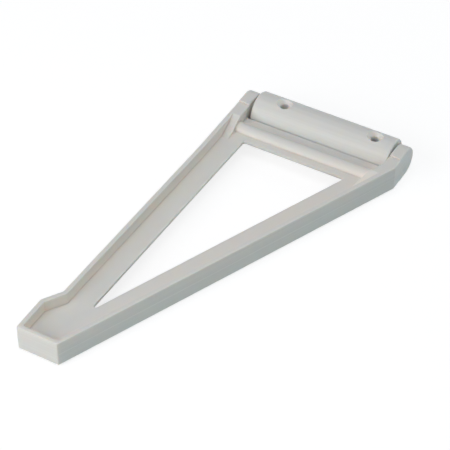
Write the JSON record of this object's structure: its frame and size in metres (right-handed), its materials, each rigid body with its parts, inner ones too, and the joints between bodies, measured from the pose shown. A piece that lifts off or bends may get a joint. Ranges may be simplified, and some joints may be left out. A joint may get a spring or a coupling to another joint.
{
  "type": "pivoting bracket",
  "caption": "Moulded plastic triangular bracket that swings out from a screwed half-round hinge bar, with a raised support nose at its tip for a shelf or drop leaf.",
  "frame": {"origin": "on the wall face of the mounting bar, midway between its two screw holes", "axes": "+X along the hinge axis, -Y from the hinge to the tip of the folded frame, +Z away from the wall"},
  "size_m": [0.0995, 0.1996, 0.017],
  "materials": {
    "frame_plastic": "satin moulded, off-white",
    "bar_plastic": "satin moulded, off-white"
  },
  "bodies": {
    "wall_bar": {"mounting_bar": "bar_plastic"},
    "frame": {"swing_frame": "frame_plastic"}
  },
  "joints": [
    {"name": "frame_swing", "type": "hinge", "parent": "wall_bar", "child": "frame", "pos_m": [0, 0, 0.0075], "axis": [-1, 0, 0], "range_deg": [0, 180]}
  ]
}
